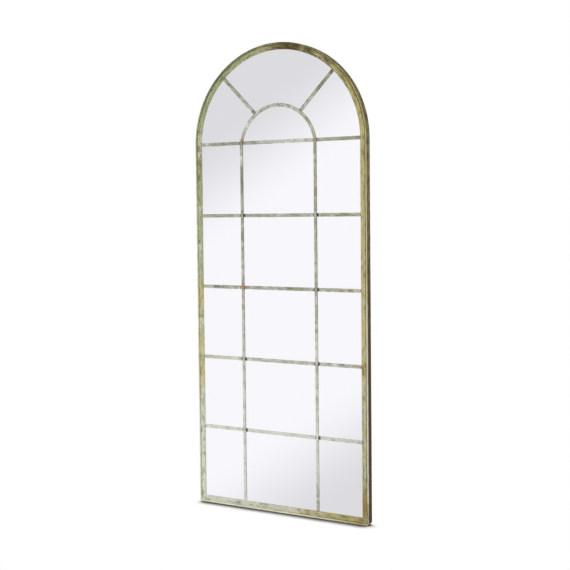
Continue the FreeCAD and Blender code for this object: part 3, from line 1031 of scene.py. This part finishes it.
        # The piece's own grime and painted shade, then its rubbing and painted highlight
        states[Wear.DIRT_AND_SHADE] = np.maximum(states[Wear.DIRT_AND_SHADE], edge_dirt_and_shade)
        states[Wear.RUB_AND_HIGHLIGHT] = np.maximum(states[Wear.RUB_AND_HIGHLIGHT], rub_and_highlight)
        piece = finish_piece(mesh, states, paint)
        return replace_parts(piece, self.node)


def finish_piece(mesh: Mesh, states: dict[Wear, np.ndarray], paint: Material) -> Object:
    """Make a painted piece of a mesh: worn states, outward faces, soft shading, finish, body and slot.

    Args:
        mesh: the piece's mesh, named for it.
        states: the worn states of its points.
        paint: its finish.

    Returns:
        The new piece.
    """
    for state, values in states.items():
        attribute = mesh.attributes.new(state.value, "FLOAT", "POINT")
        attribute.data.foreach_set("value", values.astype(np.float32))
    shell = bmesh.new()
    shell.from_mesh(mesh)
    bmesh.ops.remove_doubles(shell, verts=shell.verts, dist=SAME_PLACE)
    bmesh.ops.recalc_face_normals(shell, faces=shell.faces)
    shell.to_mesh(mesh)
    shell.free()
    mesh.shade_smooth()
    mesh.set_sharp_from_angle(angle=SOFT_BELOW)
    mesh.materials.append(paint)
    piece = add_object(mesh.name, mesh)
    # The glass shows the studio alone
    piece.visible_glossy = False
    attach(piece, BODY)
    LOG.info("%s: %d points", piece.name, len(mesh.vertices))
    return piece


@dataclass(frozen=True)
class Bead:
    """One weld bead: a rippled swelling along a joint."""

    place: Vector
    along: Vector
    out: Vector
    half_length: float
    half_width: float
    height: float


@dataclass(frozen=True)
class BeadRow:
    """Weld beads of one kind, made as one piece."""

    name: str
    beads: tuple[Bead, ...]
    replaced: str | None = None
    grime: float = 0.5
    top_clean: float = 0.35
    rust_clears: float = 0.8
    top_rub: float = 0.3
    rings: int = 12
    sides: int = 10
    least_swell: float = 0.12
    ripple_pitch: float = 2.3 * MM
    ripple: float = 0.13
    lump: float = 0.22
    lump_size: float = 3 * MM

    def swell(self, bead: Bead, share: float) -> float:
        """Give how thick a bead is at a share of its half length: it tapers to its ends and is rippled.

        Args:
            bead: the bead.
            share: place along it, from -1 to 1.

        Returns:
            The share of its full thickness.
        """
        taper = max(self.least_swell, 1 - abs(share) ** 3) ** 0.5
        waves = share * bead.half_length / self.ripple_pitch
        return taper * (1 + self.ripple * math.cos(2 * math.pi * waves))

    def build(self, paint: Material, weather: WearMap) -> Object:
        """Make the beads as one mesh of closed lumps.

        Args:
            paint: the finish.
            weather: the worn states by place.

        Returns:
            The new piece.
        """
        corners, faces, tops = [], [], []
        for bead in self.beads:
            first = len(corners)
            side = bead.along.cross(bead.out)
            for i in range(self.rings + 1):
                share = -1 + 2 * i / self.rings
                swell = self.swell(bead, share)
                middle = bead.place + bead.along * (share * bead.half_length)
                for j in range(self.sides):
                    turn = 2 * math.pi * j / self.sides
                    way = bead.out * math.sin(turn) + side * math.cos(turn)
                    size = swell * (1 + self.lump * noise.noise(middle / self.lump_size + way))
                    spot = middle + side * (math.cos(turn) * bead.half_width * size)
                    corners.append(spot + bead.out * (math.sin(turn) * bead.height * size))
                    tops.append(max(0.0, math.sin(turn)) * swell)
            faces += tube_faces(first, first + self.rings * self.sides, self.sides)
        mesh = bpy.data.meshes.new(self.name)
        mesh.from_pydata(corners, [], faces)
        layer = mesh.uv_layers.new(name=BAR_UV)
        for loop in mesh.loops:
            spot = corners[loop.vertex_index]
            layer.data[loop.index].uv = (spot.x + spot.y, spot.z + spot.y)
        states = weather.states(np.array(corners), (), INNER_DRIFT)
        top = np.array(tops)
        grime = self.grime * (1.0 - self.top_clean * top) * (1.0 - self.rust_clears * states[Wear.RUST])
        states[Wear.DIRT_AND_SHADE] = np.maximum(states[Wear.DIRT_AND_SHADE], grime)
        states[Wear.RUB_AND_HIGHLIGHT] = self.top_rub * top ** 3
        piece = finish_piece(mesh, states, paint)
        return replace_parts(piece, self.replaced) if self.replaced else piece


@dataclass(frozen=True)
class Layout:
    """Places and sizes of the frame's pieces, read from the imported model."""

    half_width: float
    height: float
    spring: float
    front: float
    back: float
    rim: float
    face_front: float
    seat: float
    opening: float
    sill: float
    rows: tuple[float, ...]
    row_width: float
    upright: float
    upright_width: float
    upright_front: float
    small_foot: float
    small_top: float
    small_reach: float

    @classmethod
    def read(cls) -> "Layout":
        """Read the layout from the boxes of the nodes.

        Returns:
            The layout.
        """
        rim_low, rim_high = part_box("rim_left")
        face_low, face_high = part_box("face_left")
        base_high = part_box("face_bottom")[1]
        row_boxes = [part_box(name) for name in ROW_NODES]
        post_low, post_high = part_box("upright_right")
        small_low, small_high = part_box("small_arch")
        half_width = -rim_low.x
        return cls(
            half_width=half_width, height=rim_high.z + half_width, spring=rim_high.z,
            front=rim_low.y, back=rim_high.y, rim=rim_high.x - rim_low.x,
            face_front=face_low.y, seat=face_high.y, opening=-face_high.x, sill=base_high.z,
            rows=tuple((low.z + high.z) / 2 for low, high in row_boxes),
            row_width=row_boxes[0][1].z - row_boxes[0][0].z,
            upright=(post_low.x + post_high.x) / 2, upright_width=post_high.x - post_low.x,
            upright_front=post_low.y,
            small_foot=small_low.z, small_top=small_high.z, small_reach=small_high.x,
        )


@dataclass(frozen=True)
class OuterFrame:
    """The rim set on edge and the face bars that lie behind its lip."""

    layout: Layout
    rim_round: float = 1.5 * MM
    face_round: float = 0.9 * MM
    corner_round: float = 10 * MM

    def bars(self) -> list[Bar]:
        """Give the eight bars.

        Returns:
            The rim bar and the face bar of each side, of the base and of the head.
        """
        size = self.layout
        inside = size.half_width - size.rim
        width = inside - size.opening
        rim = Section(size.rim, size.front, size.back, self.rim_round, strips=3, side_strips=5)
        face = Section(width, size.face_front, size.seat, self.face_round, strips=8)
        rim_middle = size.half_width - size.rim / 2
        face_middle = size.opening + width / 2
        pairs = []
        for name, side, edge in (("left", -1, EdgeSide.LOW), ("right", 1, EdgeSide.HIGH)):
            cut = RoundedCut(side * size.rim / 2, self.corner_round)
            on_edge = StraightPath((side * rim_middle, 0.0), (side * rim_middle, size.spring), cut)
            mitre = MitreCut(side * width / 2)
            flat = StraightPath((side * face_middle, size.rim), (side * face_middle, size.spring), mitre)
            pairs.append((name, edge, on_edge, flat))
        cut = RoundedCut(size.rim / 2, self.corner_round, size.rim)
        on_edge = StraightPath((-inside, size.rim / 2), (inside, size.rim / 2), cut, cut)
        mitre = MitreCut(width / 2)
        level = size.sill - width / 2
        flat = StraightPath((-inside, level), (inside, level), mitre, mitre)
        pairs.append(("bottom", EdgeSide.HIGH, on_edge, flat))
        on_edge, flat = (ArchPath(size.spring, radius, size.spring) for radius in (rim_middle, face_middle))
        pairs.append(("arch", EdgeSide.HIGH, on_edge, flat))
        made = []
        for name, edge, on_edge, flat in pairs:
            made.append(Bar("rim_" + name, on_edge, rim, len(made) + 1, outside=edge))
            made.append(Bar("face_" + name, flat, face, len(made) + 1, lip=edge))
        return made


@dataclass(frozen=True)
class WindowGrid:
    """The cross bars, and the two uprights that are notched over them."""

    layout: Layout
    edge_round: float = 0.9 * MM
    joint_aside: float = 1.8 * MM
    row_seed: int = 11
    upright_seed: int = 21

    def bars(self) -> list[Bar]:
        """Give the seven bars.

        Returns:
            The five cross bars from the bottom up, then the two uprights.
        """
        size = self.layout
        flat = Section(size.row_width, size.face_front, size.seat, self.edge_round, strips=5)
        post = Section(size.upright_width, size.upright_front, size.seat, self.edge_round, strips=4,
                       notch_floor=size.face_front)
        half = size.row_width / 2
        made = []
        for seed, (node, row) in enumerate(zip(ROW_NODES, size.rows), self.row_seed):
            path = StraightPath((-size.opening, row), (size.opening, row))
            # The crossings of the spring bar have rusted and hold no dirt
            sides = () if node == SPRING_BAR else (-1, 1)
            joints = tuple((side * size.upright + self.joint_aside, row) for side in sides)
            made.append(Bar(node, path, flat, seed, drift=INNER_DRIFT, joints=joints))
        top = size.rows[-1] + half
        notches = tuple((row - half - size.sill, row + half - size.sill) for row in size.rows)
        for seed, (node, side) in enumerate((("upright_left", -1), ("upright_right", 1)), self.upright_seed):
            path = StraightPath((side * size.upright, size.sill), (side * size.upright, top))
            made.append(Bar(node, path, post, seed, drift=INNER_DRIFT, notches=notches))
        return made


@dataclass(frozen=True)
class Fanlight:
    """The small arch on the spring bar and the two slanting bars from it to the head."""

    layout: Layout
    edge_round: float = 0.9 * MM
    lean: float = math.radians(44.4)
    aim_rise: float = 9 * MM
    arch_seed: int = 31
    slant_seed: int = 33

    @property
    def small_circle(self) -> Spot2D:
        """The small arch's outer circle, from its foot and its top.

        Returns:
            The height of its middle, and its radius.
        """
        size = self.layout
        rise = size.small_top - size.small_foot
        radius = (size.small_reach ** 2 + rise ** 2) / (2 * rise)
        return size.small_top - radius, radius

    def slants(self) -> list[tuple[str, CopedPath]]:
        """Give the slanting bars.

        Returns:
            The node's name and the path of each.
        """
        size = self.layout
        aim = (0.0, size.spring + self.aim_rise)
        outer = (size.spring, size.opening)
        leans = (("fan_bar_left", -self.lean), ("fan_bar_right", self.lean))
        return [(node, CopedPath(aim, lean, self.small_circle, outer)) for node, lean in leans]

    def bars(self) -> list[Bar]:
        """Give the three bars.

        Returns:
            The small arch and the two slanting bars.
        """
        size = self.layout
        flat = Section(size.row_width, size.face_front, size.seat, self.edge_round, strips=5)
        middle, radius = self.small_circle
        arch = ArchPath(middle, radius - size.row_width / 2, size.small_foot)
        made = [Bar("small_arch", arch, flat, self.arch_seed, drift=INNER_DRIFT)]
        for seed, (node, path) in enumerate(self.slants(), self.slant_seed):
            made.append(Bar(node, path, flat, seed, drift=INNER_DRIFT))
        return made


@dataclass(frozen=True)
class Welds:
    """The beads at the crossings, at the ends of the bars and across the joints of the rim."""

    layout: Layout
    fanlight: Fanlight
    crossing_half: float = 5 * MM
    crossing_leg: float = 2.1 * MM
    end_half: float = 5.8 * MM
    end_width: float = 1.3 * MM
    end_height: float = 0.7 * MM
    rim_half: float = 11 * MM
    rim_leg: float = 1.7 * MM

    def end_bead(self, x: float, z: float, along: Vector) -> Bead:
        """Give the bead across the end of a bar."""
        spot = Vector((x, self.layout.face_front, z))
        return Bead(spot, along, -BACK, self.end_half, self.end_width, self.end_height)

    def rows(self) -> list[BeadRow]:
        """Give the beads, by kind.

        Returns:
            Three rows of beads.
        """
        size = self.layout
        crossings, ends, rim = [], [], []
        for row in size.rows:
            for side in (-1, 1):
                for edge in (-1, 1):
                    x = side * size.upright + edge * size.upright_width / 2
                    spot = Vector((x, size.face_front, row))
                    leg = self.crossing_leg
                    crossings.append(Bead(spot, UP, -BACK, self.crossing_half, leg, leg))
                ends.append(self.end_bead(side * size.opening, row, UP))
        for side in (-1, 1):
            for level in (size.sill, size.small_foot):
                ends.append(self.end_bead(side * size.upright, level, RIGHT))
            spot = Vector((side * size.half_width, (size.front + size.back) / 2, size.spring))
            rim.append(Bead(spot, BACK, RIGHT * side, self.rim_half, self.rim_leg, self.rim_leg))
        for _, path in self.fanlight.slants():
            turned = Vector((math.cos(path.lean), 0, -math.sin(path.lean)))
            for share in (0.0, 1.0):
                x, z, _ = path.place(share, 0.0)
                ends.append(self.end_bead(x, z, turned))
        return [
            BeadRow("crossing_weld_beads", tuple(crossings), "crossing_welds", grime=1.0),
            BeadRow("bar_end_weld_beads", tuple(ends)),
            BeadRow("rim_joint_weld_beads", tuple(rim)),
        ]


class CarriedPart(Enum):
    """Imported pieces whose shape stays, with the finish that each gets."""

    GLASS = ("mirror_glass", SilveredGlass())
    TAPE = ("glazing_tape", BLACK_TAPE)
    FOAM = ("foam_sheet", WHITE_FOAM)
    PANEL = ("back_panel", HARDBOARD)
    TABS = ("retaining_tabs", ZincPlate())
    LEFT_HANGER = ("hanger_plate_left", ZincPlate())
    RIGHT_HANGER = ("hanger_plate_right", ZincPlate())


class Glazing:
    """The glass, what closes it in from behind and the plates that hang it."""

    def dress(self) -> None:
        """Give each carried piece its finish."""
        made: dict[str, Material] = {}
        for part in CarriedPart:
            node, finish = part.value
            if finish.name not in made:
                made[finish.name] = finish.build()
            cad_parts[node].material_slots[0].material = made[finish.name]
            LOG.info("%s: %s", node, finish.name)


@dataclass(frozen=True)
class WhiteFloor:
    """A white studio floor that keeps the slim dark line where the base stands on it."""

    half: float = 8.0
    matt: str = "#E0E0E0"
    shade: str = "#3C3A32"
    shade_reach: float = 54 * MM
    shade_span: Spot2D = (0.4, 0.92)
    # Near surfaces are sought to the back and left, so the shade lies in front of the base and to its right
    shade_way: Spot3D = (-0.35, 0.65, 0.67)

    def build(self) -> Object:
        """Lay the floor.

        Returns:
            The floor.
        """
        material = new_material("white_studio_floor")
        tree = material.node_tree
        facing = add_node(tree, "CombineXYZ", dict(zip("XYZ", self.shade_way)))
        inputs = {"Distance": self.shade_reach, "Normal": facing}
        near = add_node(tree, "AmbientOcclusion", inputs, "AO", samples=24)
        clear = remap(tree, near, self.shade_span, kind="SMOOTHSTEP")
        seen = blend(tree, clear, self.shade, WHITE)
        glow = add_node(tree, "Emission", {"Color": seen, "Strength": 1.0})
        matt = add_node(tree, "BsdfDiffuse", {"Color": self.matt})
        unseen = add_node(tree, "BsdfTransparent")
        camera = add_node(tree, "LightPath", output="Is Camera Ray")
        glossy = add_node(tree, "LightPath", output="Is Glossy Ray")
        shown = add_node(tree, "MixShader", {0: camera, 1: matt, 2: glow})
        mixed = add_node(tree, "MixShader", {0: glossy, 1: shown, 2: unseen})
        add_node(tree, "OutputMaterial", {"Surface": mixed})
        mesh = bpy.data.meshes.new("studio_floor")
        sheet = bmesh.new()
        bmesh.ops.create_grid(sheet, x_segments=4, y_segments=4, size=self.half)
        sheet.to_mesh(mesh)
        sheet.free()
        mesh.materials.append(material)
        floor = add_object(mesh.name, mesh)
        return floor


@dataclass(frozen=True)
class PanelEdge:
    """A soft edge between two studio panels: how it runs with the way of view, and which side is bright."""

    run: Spot3D
    shift: float
    rising: bool


@dataclass(frozen=True)
class Studio:
    """Plain soft light: an even fill, and a white panel between two pale grey ones that the glass shows."""

    fill: str = "#F4F5F8"
    fill_strength: float = 0.26
    dim: str = "#E2E3E3"
    edges: tuple[PanelEdge, ...] = (
        PanelEdge((7.88, 0.0, -9.16), 5.03, True),
        PanelEdge((6.87, 0.0, -9.01), 1.54, False),
    )

    def build(self) -> None:
        """Make the world: white behind the object, panels in reflections and fill elsewhere."""
        world = bpy.data.worlds.new("studio")
        world.use_nodes = True
        tree = world.node_tree
        tree.nodes.clear()
        camera = add_node(tree, "LightPath", output="Is Camera Ray")
        way = add_node(tree, "TexCoord", output="Generated")
        share: Any = 1.0
        for edge in self.edges:
            run = add_node(tree, "VectorMath", {0: way, 1: edge.run}, "Value", operation="DOT_PRODUCT")
            ends = (0.0, 1.0) if edge.rising else (1.0, 0.0)
            step = remap(tree, run, (-edge.shift, 1.0 - edge.shift), ends, "SMOOTHSTEP")
            share = add_node(tree, "Math", {0: share, 1: step}, operation="MULTIPLY")
        seen = blend(tree, camera, blend(tree, share, self.dim, WHITE), WHITE)
        backdrop = add_node(tree, "Background", {"Color": seen, "Strength": 1.0})
        fill = add_node(tree, "Background", {"Color": self.fill, "Strength": self.fill_strength})
        shown = camera
        for kind in ("Is Glossy Ray", "Is Transmission Ray"):
            ray = add_node(tree, "LightPath", output=kind)
            shown = add_node(tree, "Math", {0: shown, 1: ray}, operation="MAXIMUM")
        mixed = add_node(tree, "MixShader", {0: shown, 1: fill, 2: backdrop})
        add_node(tree, "OutputWorld", {"Surface": mixed})
        bpy.context.scene.world = world


@dataclass(frozen=True)
class SoftLamp:
    """A square diffuser lamp that shines on a place and doesn't show in the glass."""

    name: str
    place: Spot3D
    aim: Spot3D
    size: float
    power: float

    def build(self) -> None:
        """Hang the lamp."""
        lamp = bpy.data.lights.new(self.name, "AREA")
        lamp.shape = "SQUARE"
        lamp.size = self.size
        lamp.energy = self.power
        holder = add_object(self.name, lamp)
        holder.location = self.place
        way = Vector(self.aim) - Vector(self.place)
        holder.rotation_euler = way.to_track_quat("-Z", "Y").to_euler()
        holder.visible_glossy = False


LAMPS = (
    SoftLamp("low_left_key", (-1.7, -2.7, 0.7), (0.0, 0.0, 0.7), size=1.5, power=80.0),
    SoftLamp("right_fill", (2.6, -1.5, 1.5), (0.0, 0.0, 0.8), size=1.5, power=32.0),
    SoftLamp("back_fill", (-1.6, 2.8, 1.9), (0.0, 0.0, 0.8), size=1.8, power=70.0),
)


@dataclass(frozen=True)
class PhotoCamera:
    """The camera at the photograph's viewing angle.

    Turn, tilt and roll are in degrees, lens and sensor in millimetres and shifts in picture widths.
    """

    place: Spot3D = (1.7658, -3.0822, 1.0248)
    turn: float = 29.508
    tilt: float = -2.574
    roll: float = -0.571
    lens: float = 66.015
    sensor: float = 36.0
    aside: float = -0.0009
    rise: float = -0.0430

    def build(self) -> None:
        """Set up the camera and make it the scene's own."""
        data = bpy.data.cameras.new("photo_camera")
        data.lens = self.lens
        data.sensor_width = self.sensor
        data.shift_x = self.aside
        data.shift_y = self.rise
        camera = add_object("photo_camera", data)
        turned = Matrix.Rotation(math.radians(self.turn), 4, "Z")
        tilted = Matrix.Rotation(math.radians(90 + self.tilt), 4, "X")
        rolled = Matrix.Rotation(math.radians(self.roll), 4, "Z")
        camera.matrix_world = Matrix.Translation(self.place) @ turned @ tilted @ rolled
        bpy.context.scene.camera = camera


def main() -> None:
    """Build and dress the mirror, then set it in the studio."""
    logging.basicConfig(level=logging.INFO, format="%(message)s")
    layout = Layout.read()
    weather = WearMap(layout.half_width, layout.height)
    fanlight = Fanlight(layout)
    frame_paint, bar_paint, weld_paint = (paint.build() for paint in (FRAME_PAINT, BAR_PAINT, WELD_PAINT))
    for bar in OuterFrame(layout).bars():
        bar.build(frame_paint, weather)
    for bar in WindowGrid(layout).bars() + fanlight.bars():
        bar.build(bar_paint, weather)
    for row in Welds(layout, fanlight).rows():
        row.build(weld_paint, weather)
    Glazing().dress()
    WhiteFloor().build()
    Studio().build()
    for lamp in LAMPS:
        lamp.build()
    PhotoCamera().build()
    bpy.context.scene.view_settings.view_transform = "Standard"


if __name__ == "__main__":
    main()
